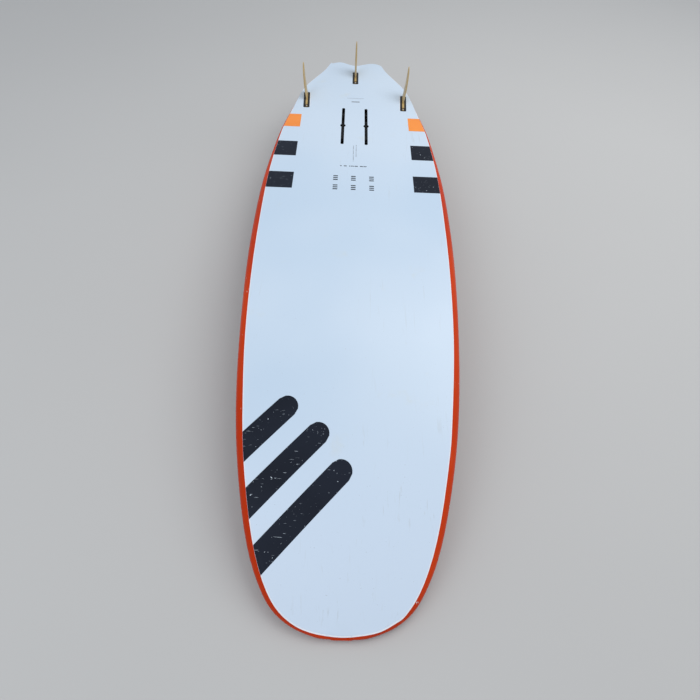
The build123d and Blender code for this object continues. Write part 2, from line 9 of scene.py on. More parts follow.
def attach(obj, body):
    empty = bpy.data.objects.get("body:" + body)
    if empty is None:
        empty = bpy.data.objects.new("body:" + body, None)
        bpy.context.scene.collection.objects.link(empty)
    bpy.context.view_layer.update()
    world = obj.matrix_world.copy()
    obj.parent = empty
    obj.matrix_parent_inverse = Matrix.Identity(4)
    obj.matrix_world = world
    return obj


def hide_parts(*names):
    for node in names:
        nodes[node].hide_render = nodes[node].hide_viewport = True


# Looks for a windsurf board lying bottom up. Metres, +Z up, the nose towards -Y and the tail towards +Y.

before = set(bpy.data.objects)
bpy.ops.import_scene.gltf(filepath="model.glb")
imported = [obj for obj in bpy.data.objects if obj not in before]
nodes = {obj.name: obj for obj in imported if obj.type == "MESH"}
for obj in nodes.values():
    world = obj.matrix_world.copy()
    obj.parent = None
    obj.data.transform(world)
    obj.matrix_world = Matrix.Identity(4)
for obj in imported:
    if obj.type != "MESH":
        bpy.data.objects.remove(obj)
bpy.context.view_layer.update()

LENGTH = 2.25
# Half width of the non-slip field, in metres, by its place along the board, as a share of the length.
GRIP_REACH = [
    (0.0, 0.12), (0.09, 0.184), (0.17, 0.214), (0.29, 0.238), (0.44, 0.254), (0.525, 0.256), (0.60, 0.253),
    (0.685, 0.240), (0.755, 0.220), (0.82, 0.195), (0.89, 0.165), (0.94, 0.127), (1.0, 0.09),
]
# The field's front edge is a parabola in plan, and its back edge is straight.
GRIP_FRONT = -0.93
GRIP_FRONT_CURVE = 3.0
GRIP_BACK = 1.03
# A side fin leans outwards more and more towards its root, by this factor on the lean at its tip.
SIDE_FIN_DEPTH = 0.105
SIDE_FIN_CANT = math.radians(6.3)
CANT_CURVE = 1.9
LAMINATE_LAYER = 0.0009
CLOTH_PITCH = 340
# The paint that shows where a print is chipped.
BARE_PAINT = (0.62, 0.70, 0.78)


# ---- material building ----
class Shader:
    """A Principled material under construction."""

    def __init__(self, name):
        self.material = bpy.data.materials.new(name)
        self.material.use_nodes = True
        self.tree = self.material.node_tree
        self.bsdf = self.tree.nodes["Principled BSDF"]
        self.place = self.make("ShaderNodeTexCoord").outputs["Object"]

    def fill(self, socket, value):
        """Puts a number, a colour or another node's output into a socket."""
        if isinstance(value, bpy.types.NodeSocket):
            self.tree.links.new(value, socket)
        elif hasattr(value, "__len__") and socket.type == "RGBA" and len(value) == 3:
            socket.default_value = (*value, 1.0)
        else:
            socket.default_value = value

    def make(self, kind, props=None, **inputs):
        node = self.tree.nodes.new(kind)
        for key, value in (props or {}).items():
            setattr(node, key, value)
        for key, value in inputs.items():
            self.fill(node.inputs[key.replace("_", " ")], value)
        return node

    def noise(self, scale, detail=3.0, rough=0.5, where=None, distortion=0.0):
        node = self.make(
            "ShaderNodeTexNoise", Vector=where or self.place, Scale=scale,
            Detail=detail, Roughness=rough, Distortion=distortion,
        )
        return node.outputs["Fac"]

    def cells(self, scale, feature="F1"):
        node = self.make("ShaderNodeTexVoronoi", {"feature": feature}, Vector=self.place, Scale=scale)
        return node.outputs["Distance"]

    def stretch(self, scale, turn=0.0):
        node = self.make("ShaderNodeMapping", Vector=self.place, Rotation=(0, 0, turn), Scale=scale)
        return node.outputs["Vector"]

    def wave(self, scale, where, direction):
        bands = {"wave_type": "BANDS", "bands_direction": direction, "wave_profile": "SIN"}
        node = self.make("ShaderNodeTexWave", bands, Vector=where, Scale=scale, Distortion=0.0)
        return node.outputs["Fac"]

    def ramp(self, value, low, high):
        """0 below low, 1 above high, smooth between."""
        node = self.make(
            "ShaderNodeMapRange", {"interpolation_type": "SMOOTHSTEP"}, Value=value,
            From_Min=low, From_Max=high,
        )
        return node.outputs["Result"]

    def math(self, operation, a, b=0.0):
        node = self.make("ShaderNodeMath", {"operation": operation})
        self.fill(node.inputs[0], a)
        self.fill(node.inputs[1], b)
        return node.outputs["Value"]

    def times(self, a, b):
        return self.math("MULTIPLY", a, b)

    def mix(self, share, a, b):
        """The colour a, turning to b as the share goes from 0 to 1."""
        node = self.make("ShaderNodeMix", {"data_type": "RGBA", "blend_type": "MIX"})
        self.fill(node.inputs["Factor"], share)
        self.fill(node.inputs[6], a)
        self.fill(node.inputs[7], b)
        return node.outputs[2]

    def between(self, share, a, b):
        """A number between a and b."""
        node = self.make("ShaderNodeMapRange", Value=share, To_Min=a, To_Max=b)
        return node.outputs["Result"]

    def curve(self, value, points):
        """A smooth curve through points, both ways from 0 to 1."""
        node = self.make("ShaderNodeFloatCurve", Value=value)
        line = node.mapping.curves[0]
        line.points[0].location = points[0]
        line.points[1].location = points[-1]
        for point in points[1:-1]:
            line.points.new(*point)
        node.mapping.update()
        return node.outputs["Value"]

    def dot(self, direction, origin):
        """Distance in metres from origin along a direction."""
        moved = self.make("ShaderNodeVectorMath", {"operation": "SUBTRACT"})
        self.fill(moved.inputs[0], self.place)
        moved.inputs[1].default_value = origin
        node = self.make("ShaderNodeVectorMath", {"operation": "DOT_PRODUCT"})
        self.fill(node.inputs[0], moved.outputs["Vector"])
        node.inputs[1].default_value = direction
        return node.outputs["Value"]

    def joined(self, x, y):
        return self.make("ShaderNodeCombineXYZ", X=x, Y=y).outputs["Vector"]

    def axis(self, letter, where=None):
        node = self.make("ShaderNodeSeparateXYZ", Vector=where or self.place)
        return node.outputs[letter]

    def normal(self):
        return self.make("ShaderNodeNewGeometry").outputs["Normal"]

    def bump(self, height, strength, distance, under=None):
        node = self.make("ShaderNodeBump", Strength=strength, Distance=distance, Height=height)
        if under:
            self.fill(node.inputs["Normal"], under)
        return node.outputs["Normal"]

    def orange_peel(self):
        """The faint ripple of sprayed paint."""
        return self.bump(self.noise(520, 2), 0.05, 0.0004)

    def finish(self, **inputs):
        """Sets the Principled sockets, named with underscores, and gives the material."""
        for key, value in inputs.items():
            self.fill(self.bsdf.inputs[key.replace("_", " ")], value)
        return self.material


def paint_scuffs(s, amount):
    """Long faint scuffs along the board, where things were dragged over it."""
    streaks = s.noise(1.0, 3, 0.6, s.stretch((95, 6, 40), 0.12), 0.4)
    patches = s.ramp(s.noise(3.2, 2), 0.5, 0.68)
    return s.times(s.times(s.ramp(streaks, 0.6, 0.75), patches), amount)


def bottom_paint():
    """Pale blue-white gloss, used: scuffs, stains, specks and fine scratches, with painted sky light towards
    the nose.
    """
    s = Shader("bottom_paint")
    cloud = s.noise(1.5, 2, 0.45)
    base = s.mix(s.ramp(cloud, 0.3, 0.7), (0.525, 0.645, 0.775), (0.60, 0.70, 0.81))
    # Paler and bluer towards the nose: painted sky light on the nose's scoop.
    base = s.mix(s.ramp(s.axis("Y"), -0.5, -1.05), base, (0.625, 0.725, 0.85))
    base = s.mix(paint_scuffs(s, 0.45), base, (0.47, 0.51, 0.52))
    stain = s.times(s.ramp(s.noise(9, 4, 0.6), 0.62, 0.78), 0.25)
    base = s.mix(stain, base, (0.62, 0.63, 0.56))
    specks = s.times(s.ramp(s.noise(330, 2, 0.4), 0.73, 0.8), 0.5)
    base = s.mix(specks, base, (0.28, 0.28, 0.27))
    scratch = s.ramp(s.noise(1.0, 2, 0.5, s.stretch((620, 9, 200), -0.5)), 0.7, 0.78)
    base = s.mix(s.times(scratch, 0.22), base, (0.75, 0.8, 0.85))
    normal = s.bump(s.noise(520, 2), 0.05, 0.0004, s.bump(scratch, 0.12, 0.0002))
    rough = s.between(s.ramp(s.noise(5, 3), 0.3, 0.7), 0.3, 0.44)
    return s.finish(
        Base_Color=base, Roughness=rough, Normal=normal,
        Coat_Weight=0.1, Coat_Roughness=0.2, Specular_IOR_Level=0.4,
    )


def deck_paint():
    """Orange gloss on the rails, a pale non-slip field inside them on the deck's face."""
    s = Shader("deck_paint")
    x = s.axis("X")
    y = s.axis("Y")
    reach = s.curve(s.math("DIVIDE", s.math("ADD", y, LENGTH / 2), LENGTH), GRIP_REACH)
    inside = s.math("LESS_THAN", s.math("ABSOLUTE", x), reach)
    down = s.math("LESS_THAN", s.axis("Z", s.normal()), -0.2)
    bow = s.times(s.times(x, x), GRIP_FRONT_CURVE)
    forward = s.math("GREATER_THAN", s.math("SUBTRACT", y, bow), GRIP_FRONT)
    aft = s.math("LESS_THAN", y, GRIP_BACK)
    field = s.times(s.times(inside, down), s.times(forward, aft))
    cloud = s.ramp(s.noise(2.4, 3), 0.3, 0.7)
    orange = s.mix(cloud, (0.50, 0.034, 0.004), (0.60, 0.05, 0.007))
    orange = s.mix(paint_scuffs(s, 0.35), orange, (0.62, 0.17, 0.07))
    chips = s.times(s.ramp(s.noise(120, 3, 0.55), 0.69, 0.71), s.ramp(s.noise(7, 2), 0.55, 0.65))
    orange = s.mix(chips, orange, (0.75, 0.74, 0.7))
    grip = s.mix(s.ramp(s.noise(6, 3), 0.35, 0.7), (0.63, 0.65, 0.66), (0.72, 0.73, 0.72))
    grime = s.times(s.ramp(s.noise(26, 4, 0.6), 0.58, 0.75), 0.35)
    grip = s.mix(grime, grip, (0.42, 0.41, 0.38))
    sand = s.times(s.math("ADD", s.noise(900, 3, 0.7), s.cells(760)), field)
    return s.finish(
        Base_Color=s.mix(field, orange, grip), Roughness=s.between(field, 0.27, 0.82),
        Normal=s.bump(sand, 0.55, 0.0007, s.orange_peel()), Specular_IOR_Level=0.06,
    )


def worn_paint(name, low, high, rough, chip_level, gloss):
    """Screen-printed colour with small chips through to the paint below."""
    s = Shader(name)
    base = s.mix(s.ramp(s.noise(6, 3), 0.3, 0.7), low, high)
    base = s.mix(s.times(s.ramp(s.noise(40, 4, 0.6), 0.5, 0.8), 0.3), base, high)
    small = s.ramp(s.noise(150, 3, 0.6), chip_level, chip_level + 0.012)
    groups = s.ramp(s.noise(13, 2), 0.46, 0.6)
    large = s.ramp(s.noise(62, 4, 0.65), chip_level + 0.015, chip_level + 0.025)
    lines = s.ramp(s.noise(1.0, 2, 0.5, s.stretch((45, 560, 100), 0.9)), 0.715, 0.735)
    chips = s.math("MAXIMUM", s.times(small, groups), large)
    chips = s.math("MAXIMUM", chips, s.times(lines, 0.55))
    return s.finish(
        Base_Color=s.mix(chips, base, BARE_PAINT),
        Roughness=s.between(s.noise(9, 3), rough - 0.08, rough + 0.1),
        Normal=s.bump(s.math("SUBTRACT", 1.0, chips), 0.5, 0.0002, s.orange_peel()),
        Specular_IOR_Level=gloss,
    )


def print_and_highlight_ink(name, colour):
    """Thin small print, uneven in its cover; also the painted highlight along the rim of the bottom."""
    s = Shader(name)
    worn = s.ramp(s.noise(260, 3, 0.6), 0.5, 0.72)
    base = s.mix(s.times(worn, 0.3), colour, (0.45, 0.5, 0.56))
    return s.finish(Base_Color=base, Roughness=s.between(worn, 0.4, 0.55), Specular_IOR_Level=0.25)


def moulded_plastic(name, low, high, grain=900, rough=0.46):
    """Glass-filled plastic with a fine spark-eroded grain and pale rub marks."""
    s = Shader(name)
    base = s.mix(s.ramp(s.noise(60, 3), 0.3, 0.7), low, high)
    rubs = s.ramp(s.noise(1.0, 3, 0.5, s.stretch((700, 60, 400), 0.2)), 0.66, 0.8)
    base = s.mix(s.times(rubs, 0.2), base, (0.06, 0.06, 0.06))
    return s.finish(
        Base_Color=base, Roughness=s.between(s.noise(80, 3), rough - 0.08, rough + 0.1),
        Normal=s.bump(s.noise(grain, 3, 0.6), 0.22, 0.0003), Specular_IOR_Level=0.28,
    )


def steel(name, low, high, rough):
    """Machined metal with fine turning lines."""
    s = Shader(name)
    base = s.mix(s.noise(140, 4, 0.6), low, high)
    lines = s.noise(1.0, 2, 0.5, s.stretch((200, 200, 9000)))
    dents = s.bump(s.ramp(s.noise(500, 3), 0.6, 0.8), 0.1, 0.0002)
    return s.finish(
        Base_Color=base, Metallic=1.0, Roughness=s.between(s.noise(300, 3), rough - 0.07, rough + 0.12),
        Normal=s.bump(lines, 0.12, 0.0001, dents),
    )


def fin_laminate(name, plane, tilt):
    """Ground glass laminate: its layers show as contour lines where the foil cuts them."""
    s = Shader(name)
    origin, across, chord = plane
    height = s.dot(across.cross(chord), origin)
    along = s.dot(chord, origin)
    curve = s.times(height, s.between(s.math("DIVIDE", height, SIDE_FIN_DEPTH), CANT_CURVE, 1.0))
    depth = s.math("SUBTRACT", s.dot(across, origin), s.times(curve, math.tan(tilt)))
    wander = s.between(s.noise(9, 3), -0.0003, 0.0003)
    layer = s.times(s.math("ADD", s.math("ABSOLUTE", depth), wander), 2 * math.pi / LAMINATE_LAYER)
    rings = s.ramp(s.math("SINE", layer), -0.2, 0.9)
    base = s.mix(s.ramp(s.noise(22, 3), 0.3, 0.7), (0.44, 0.285, 0.085), (0.55, 0.375, 0.13))
    base = s.mix(s.times(rings, 0.3), base, (0.265, 0.17, 0.062))
    flat = s.joined(along, height)
    cloth = s.times(s.wave(CLOTH_PITCH, flat, "X"), s.wave(CLOTH_PITCH, flat, "Y"))
    base = s.mix(s.times(cloth, 0.2), base, (0.60, 0.50, 0.28))
    nicks = s.ramp(s.noise(210, 3, 0.6), 0.68, 0.72)
    base = s.mix(s.times(nicks, 0.6), base, (0.72, 0.65, 0.48))
    sanding = s.bump(s.noise(1.0, 3, 0.5, s.stretch((900, 60, 60))), 0.1, 0.0002)
    return s.finish(
        Base_Color=base, Roughness=s.between(rings, 0.3, 0.42), Normal=s.bump(cloth, 0.12, 0.0002, sanding),
        Coat_Weight=0.08, Coat_Roughness=0.15, Specular_IOR_Level=0.3,
    )


def foam(name, low, high, bead):
    """Cut foam beads."""
    s = Shader(name)
    edge = s.cells(bead, feature="DISTANCE_TO_EDGE")
    base = s.mix(s.ramp(edge, 0.0, 0.12), low, high)
    return s.finish(
        Base_Color=base, Roughness=s.between(s.noise(200), 0.75, 0.92),
        Normal=s.bump(s.ramp(edge, 0.0, 0.1), 0.4, 0.0006),
    )


def strap_cloth(name, plane, colour, lift, pitch):
    """Woven strap cloth whose ribs run across the strap, all the way over its arch."""
    s = Shader(name)
    origin, run, out = plane
    across = run.cross(out)
    reach = s.math("ABSOLUTE", s.dot(run, origin))
    along = s.math("SUBTRACT", s.dot(out, origin), reach)
    side = s.dot(across, origin)
    flat = s.joined(along, side)
    ribs = s.wave(pitch, flat, "X")
    yarns = s.wave(pitch * 0.7, flat, "Y")
    weave = s.times(ribs, s.between(yarns, 0.45, 1.0))
    # The weave's crests lighter than its hollows: painted light and shade on the weave.
    base = s.mix(weave, colour, lift)
    dust = s.times(s.ramp(s.noise(45, 4, 0.6), 0.5, 0.75), 0.35)
    base = s.mix(dust, base, (0.12, 0.115, 0.105))
    fuzz = s.bump(s.noise(1400, 2), 0.25, 0.0002)
    return s.finish(
        Base_Color=base, Roughness=s.between(weave, 0.92, 0.72), Normal=s.bump(weave, 0.5, 0.0005, fuzz),
        Sheen_Weight=0.35, Sheen_Roughness=0.4,
    )


def pad_foam():
    """Moulded EVA with a fine diamond grip and closed-cell grain."""
    s = Shader("pad_foam")
    turned = s.stretch((1, 1, 1), math.radians(45))
    grooves = [s.ramp(s.wave(29, turned, direction), 0.03, 0.2) for direction in "XY"]
    diamonds = s.times(*grooves)
    base = s.mix(s.ramp(s.noise(12, 4, 0.6), 0.3, 0.7), (0.045, 0.048, 0.055), (0.075, 0.08, 0.09))
    # The diamond grooves painted darker: painted shade in the grooves.
    base = s.mix(s.math("SUBTRACT", 1.0, diamonds), base, (0.02, 0.021, 0.025))
    dust = s.times(s.ramp(s.noise(55, 4, 0.65), 0.52, 0.8), 0.3)
    base = s.mix(dust, base, (0.17, 0.165, 0.155))
    grain = s.bump(s.noise(1500, 3), 0.3, 0.0003)
    return s.finish(
        Base_Color=base, Roughness=s.between(s.noise(30, 3), 0.7, 0.88),
        Normal=s.bump(diamonds, 0.7, 0.0012, grain), Sheen_Weight=0.15,
    )


def thread(name, colour):
    """Twisted sewing thread."""
    s = Shader(name)
    twist = s.wave(700, s.stretch((1, 1, 1), 0.7), "X")
    shade = tuple(0.55 * c for c in colour)
    return s.finish(
        Base_Color=s.mix(twist, colour, shade), Roughness=s.between(twist, 0.6, 0.75),
        Normal=s.bump(twist, 0.4, 0.0002),
    )


def rubber(name):
    s = Shader(name)
    base = s.mix(s.noise(90, 3), (0.012, 0.012, 0.013), (0.03, 0.03, 0.031))
    return s.finish(
        Base_Color=base, Roughness=s.between(s.noise(150), 0.5, 0.68),
        Normal=s.bump(s.noise(1200), 0.2, 0.0002),
    )


def studio_floor_paint():
    s = Shader("floor_finish")
    base = s.mix(s.noise(0.8, 2), (0.50, 0.495, 0.485), (0.53, 0.525, 0.515))
    return s.finish(Base_Color=base, Roughness=0.85)


# ---- making pieces ----
def object_from(name, mesh):
    piece = bpy.data.objects.new(name, mesh)
    bpy.context.scene.collection.objects.link(piece)
    return piece


def piece_from(name, bm):
    """A new object from an edit mesh, which is freed."""
    mesh = bpy.data.meshes.new(name)
    bm.to_mesh(mesh)
    bm.free()
    return object_from(name, mesh)


def shade_smooth(mesh):
    for p in mesh.polygons:
        p.use_smooth = True


def bridge_rings(bm, rings):
    """Faces between each closed ring of points and the next."""
    for a, b in zip(rings, rings[1:]):
        for i in range(len(a)):
            j = (i + 1) % len(a)
            bm.faces.new((a[i], a[j], b[j], b[i]))


def tree_of(mesh):
    return BVHTree.FromPolygons([v.co for v in mesh.vertices], [p.vertices for p in mesh.polygons])


def surface(name):
    return tree_of(nodes[name].data)


# ---- where the board's surfaces are ----
UP = Vector((0, 0, 1))
ABOVE = 1.0
BELOW = -0.5
GROUND_GAP = 0.01
SLOPE_REACH = 0.03


bottom = surface("bottom_skin")
deck = surface("deck_skin")


def bottom_height(x, y):
    """Height of the white bottom at a place, or None beside it."""
    hit = bottom.ray_cast(Vector((x, y, ABOVE)), -UP)[0]
    if hit is None or hit.z < GROUND_GAP:
        return None
    return hit.z


def bottom_normal(x, y):
    """The bottom's normal from its slope along the board, without the facets of its mesh."""
    rise = [bottom_height(x, y + s) for s in (-SLOPE_REACH, SLOPE_REACH)]
    if None in rise:
        return UP
    return Vector((0, rise[0] - rise[1], 2 * SLOPE_REACH)).normalized()


def to_edge(start, direction, limit=0.8):
    """How far the bottom's colour reaches from a point in a direction."""
    low, high = 0.0, limit
    for _ in range(16):
        middle = (low + high) / 2
        p = start + direction * middle
        if bottom_height(p.x, p.y) is None:
            high = middle
        else:
            low = middle
    return low


FILM_LIFT = 0.00022
FILM_SUNK = 0.0002


def film(name, rows, material, lift=FILM_LIFT):
    """A thin film of paint from rows of plan points, with a skirt that dips under the bottom's surface."""
    bm = bmesh.new()
    grid = []
    for row in rows:
        grid.append([bm.verts.new((p.x, p.y, bottom_height(p.x, p.y) + lift)) for p in row])
    for a, b in zip(grid, grid[1:]):
        for i in range(len(a) - 1):
            bm.faces.new((a[i], b[i], b[i + 1], a[i + 1]))
    rim = [e for e in bm.edges if e.is_boundary]
    fresh = bmesh.ops.extrude_edge_only(bm, edges=rim)["geom"]
    for v in fresh:
        if isinstance(v, bmesh.types.BMVert):
            v.co.z -= lift + FILM_SUNK
    bmesh.ops.recalc_face_normals(bm, faces=bm.faces)
    if sum(f.normal.z for f in bm.faces) < 0:
        bmesh.ops.reverse_faces(bm, faces=bm.faces)
    piece = piece_from(name, bm)
    mesh = piece.data
    shade_smooth(mesh)
    mesh.normals_split_custom_set_from_vertices([bottom_normal(v.co.x, v.co.y) for v in mesh.vertices])
    mesh.materials.append(material)
    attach(piece, "board")


# How far from the seam a stripe ends, and where it is cut finely to follow the rounded rim of the bottom.
SEAM_MARGIN = 0.0005
RIM_STEPS = (0.0042, 0.0034, 0.0027, 0.0021, 0.0016, 0.0011, 0.0006, 0.0)


def strip(name, start, turn, width, length, material, pitch=0.005, rounded=False):
    """A straight stripe in plan, its start square or rounded. length None runs to the edge of the bottom."""
    start = Vector((*start, 0.0))
    run = Vector((math.cos(turn), math.sin(turn), 0.0))
    side = Vector((-run.y, run.x, 0.0))
    columns = max(2, round(width / pitch))
    spans = []
    for t in [(2 * i / columns - 1) for i in range(columns + 1)]:
        base = start + side * (t * width / 2)
        first = width / 2 * (1 - math.sqrt(max(0.0, 1 - t * t))) if rounded else 0.0
        last = to_edge(base, run) - SEAM_MARGIN if length is None else length
        spans.append((base, first, last))
    steps = max(2, round(max(last - first for _, first, last in spans) / pitch))
    fine = RIM_STEPS if length is None else (0.0,)
    rows = []
    for i in range(steps):
        row = []
        for base, first, last in spans:
            row.append(base + run * (first + (last - fine[0] - first) * i / steps))
        rows.append(row)
    for inset in fine:
        rows.append([base + run * (last - inset) for base, _, last in spans])
    film(name, rows, material)


# ---- graphics on the bottom ----
# The pale line round the rim of the bottom is a painted highlight on its rounded edge.
RIM_HIGHLIGHT_INSETS = (0.0026, 0.0019, 0.0015, 0.001, 0.0004)
RIM_HIGHLIGHT_LIFT = 0.0001
RIM_HIGHLIGHT_TAIL = 2.196
NOSE_FAN = 0.26
FAN_RAYS = 90
SIDE_RAYS = 190


def at(distance):
    """Y of a place given by its distance from the nose."""
    return distance - LENGTH / 2


def edge_rays():
    """Rays from the middle to the rim of the bottom: along one rail, round the nose, back along the other."""
    fan = at(NOSE_FAN)
    tail = at(RIM_HIGHLIGHT_TAIL)
    sides = [tail + (fan - tail) * i / SIDE_RAYS for i in range(SIDE_RAYS)]
    rays = [(Vector((0, y, 0)), Vector((1, 0, 0))) for y in sides]
    for i in range(FAN_RAYS + 1):
        angle = -math.pi * i / FAN_RAYS
        rays.append((Vector((0, fan, 0)), Vector((math.cos(angle), math.sin(angle), 0))))
    return rays + [(Vector((0, y, 0)), Vector((-1, 0, 0))) for y in reversed(sides)]


def painted_rim_highlight(material):
    """A pale line between the tinted bottom and the coloured rail: a painted highlight on the bottom's
    rounded edge.
    """
    rows = []
    for start, run in edge_rays():
        reach = to_edge(start, run)
        rows.append([start + run * (reach - inset) for inset in RIM_HIGHLIGHT_INSETS])
    film("rail_rim_highlight", rows, material, RIM_HIGHLIGHT_LIFT)


dark_print = worn_paint("dark_print", (0.0065, 0.0095, 0.018), (0.0105, 0.0145, 0.026), 0.44, 0.69, 0.14)
orange_print = worn_paint("orange_print", (0.88, 0.245, 0.03), (0.95, 0.30, 0.045), 0.4, 0.735, 0.35)
ink = print_and_highlight_ink("small_print", (0.014, 0.018, 0.026))
pale_ink = print_and_highlight_ink("pale_print", (0.30, 0.34, 0.39))
# The colour of the painted rim highlight.
rim_highlight_paint = print_and_highlight_ink("rim_highlight_paint", (0.78, 0.79, 0.83))

painted_rim_highlight(rim_highlight_paint)

# Square patches along both rails: where each starts and ends, and its inner edge.
for side, turn in (("left", math.pi), ("right", 0.0)):
    sign = 1 if side == "right" else -1
    for label, low, high, inner, paint in (
        ("front_patch", 1.296, 1.386, 0.208, dark_print),
        ("middle_patch", 1.485, 1.577, 0.210, dark_print),
        ("rear_patch", 1.677, 1.768, 0.210, orange_print),
    ):
        place = (sign * inner, at((low + high) / 2))
        strip(f"{side}_{label}", place, turn, high - low, None, paint)

BAR_TURN = math.radians(226)
BAR_WIDTH = 0.056
for label, x, distance in (
    ("nose_bar_front", 0.006, 0.352),
    ("nose_bar_middle", -0.052, 0.438),
    ("nose_bar_rear", -0.132, 0.502),
):
    strip(label, (x, at(distance)), BAR_TURN, BAR_WIDTH, None, dark_print, rounded=True)

# Six stacks of three short bars.
for column, x in enumerate((-0.062, 0.0, 0.063)):
    for row, distance in enumerate((1.31, 1.362)):
        for part, shift in enumerate((-0.0105, 0.0, 0.0105)):
            place = (x - 0.008, at(distance + shift))
            strip(f"mark_{column}{row}{part}", place, 0.0, 0.0052, 0.016, ink, 0.004)

# A row of dashes across the board. A dash of 0 is a gap.
DASHES = (4, 0, 5, 3, 0, 3, 4, 3, 5, 4, 0, 6, 3, 4, 3)
DASH_STEP = 0.0064
x = -0.048
for i, long in enumerate(DASHES):
    if long:
        strip(f"dash_{i}", (x, at(1.433)), 0.0, 0.0042, long * 0.0011 + 0.001, ink, 0.003)
    x += DASH_STEP

# Two lines of fine dashes along the board, of four lengths.
FINE_STEP = 0.0085
for line, (x, first, count) in enumerate(((-0.002, 1.463, 12), (0.008, 1.491, 9))):
    for i in range(count):
        long = 0.004 + 0.0035 * ((i * 7 + line * 3) % 4) / 3
        strip(f"fine_{line}_{i}", (x, at(first + i * FINE_STEP)), math.pi / 2, 0.0024, long, pale_ink, 0.002)

strip("tail_line", (-0.033, at(1.910)), 0.0, 0.0018, 0.070, pale_ink)
strip("tail_bar", (-0.014, at(1.881)), 0.0, 0.0085, 0.033, pale_ink, 0.004)


# ---- straps ----
def vec(*values):
    return Vector(values)


# Each strap's own plane: its middle on the deck, its run, its way out of the deck, and its arch's height.
STRAPS = {
    "front_left": (
        vec(-0.14, 0.28, 0.109894), vec(-0.497185, 0.86115, 0.105958),
        vec(-0.1787, 0.01787, -0.983741), 0.09908,
    ),
    "front_right": (
        vec(0.14, 0.28, 0.109894), vec(0.497185, 0.86115, 0.105958),
        vec(0.1787, 0.01787, -0.983741), 0.09908,
    ),
    "rear": (vec(0, 0.63, 0.119849), vec(1, 0, 0), vec(0, 0.080443, -0.996759), 0.092),
}
LEG_REACH = 0.061
TOP_REACH = 0.055
LEG_FOOT = 0.0095
COVER_START = 0.034
ARCH_RADIUS = 0.048
COVER_HALF_WIDTH = 0.0315
COVER_HALF_THICKNESS = 0.0062
COVER_STEPS = 56
STITCH_LINE = 0.0245
STITCH_DENT = 0.0016
STITCH_DENT_WIDTH = 0.0022
STITCH_RADIUS = 0.00042
SEWN_HALF_WIDTH = 0.0016
HEM = 0.0035
PUFF_FRAMES = 20
PUFF_LIMIT = 0.0028


def arch(top, count):
    """Points and outward normals along a strap's padded arch, in its own plane."""
    share = (COVER_START - LEG_FOOT) / (top - LEG_FOOT)
    reach = LEG_REACH + (TOP_REACH - LEG_REACH) * share
    corner = Vector((-TOP_REACH, top))
    start = Vector((-reach, COVER_START))
    climb = (corner - start).normalized()
    turn = math.atan2(climb.y, climb.x)
    tangent = ARCH_RADIUS * math.tan(turn / 2)
    leg = (corner - start).length - tangent
    curve = ARCH_RADIUS * turn
    flat = TOP_REACH - tangent
    centre = corner + Vector((1, 0)) * tangent + Vector((0, -1)) * ARCH_RADIUS
    half = []
    total = leg + curve + flat
    for i in range(count // 2 + 1):
        s = total * i / (count // 2)
        if s <= leg:
            half.append((start + climb * s, Vector((-climb.y, climb.x))))
        elif s <= leg + curve:
            angle = turn - (s - leg) / ARCH_RADIUS
            normal = Vector((-math.sin(angle), math.cos(angle)))
            half.append((centre + normal * ARCH_RADIUS, normal))
        else:
            half.append((Vector((-flat + (s - leg - curve), top)), Vector((0, 1))))
    other = [(Vector((-p.x, p.y)), Vector((-n.x, n.y))) for p, n in reversed(half[:-1])]
    return half + other


def cover_section(count=32):
    """Closed outline of a strap cover's cross-section: across and through."""
    points = []
    for i in range(count):
        angle = 2 * math.pi * i / count
        c, s = math.cos(angle), math.sin(angle)
        across = COVER_HALF_WIDTH * math.copysign(abs(c) ** 0.62, c)
        thick = COVER_HALF_THICKNESS * math.copysign(abs(s) ** 0.8, s)
        points.append((across, thick))
    return points


def placed(plane, across, p):
    """A point of the strap's own plane, moved across it, in the row frame."""
    origin, run, out, _ = plane
    return origin + run * p.x + out * p.y + run.cross(out) * across


def cover_mesh(name, plane):
    """The sleeve of a strap as one closed form of rows around its arch."""
    section = cover_section()
    line = arch(plane[3], COVER_STEPS)
    bm = bmesh.new()
    rings = []
    for i, (p, normal) in enumerate(line):
        share = min(1.0, (min(i, len(line) - 1 - i) + 0.35) / 1.6)
        swell = math.sqrt(1 - (1 - share) ** 2)
        ring = []
        for across, thick in section:
            q = p + normal * (thick * (0.55 + 0.45 * swell))
            ring.append(bm.verts.new(placed(plane, across * (0.9 + 0.1 * swell), q)))
        rings.append(ring)
    bridge_rings(bm, rings)
    half = len(section) // 2
    for ring in (rings[0], rings[-1]):
        for i in range(half):
            j = (len(section) - i) % len(section)
            k = len(section) - i - 1
            if j == i:
                bm.faces.new((ring[i], ring[i + 1], ring[k]))
            elif i + 1 == k:
                bm.faces.new((ring[i], ring[i + 1], ring[j]))
            else:
                bm.faces.new((ring[i], ring[i + 1], ring[k], ring[j]))
    bmesh.ops.recalc_face_normals(bm, faces=bm.faces)
    return piece_from(name, bm)


def off_centre(plane, co):
    """How far a point is from the strap's middle line, across the strap."""
    origin, run, out, _ = plane
    return abs((co - origin).dot(run.cross(out)))


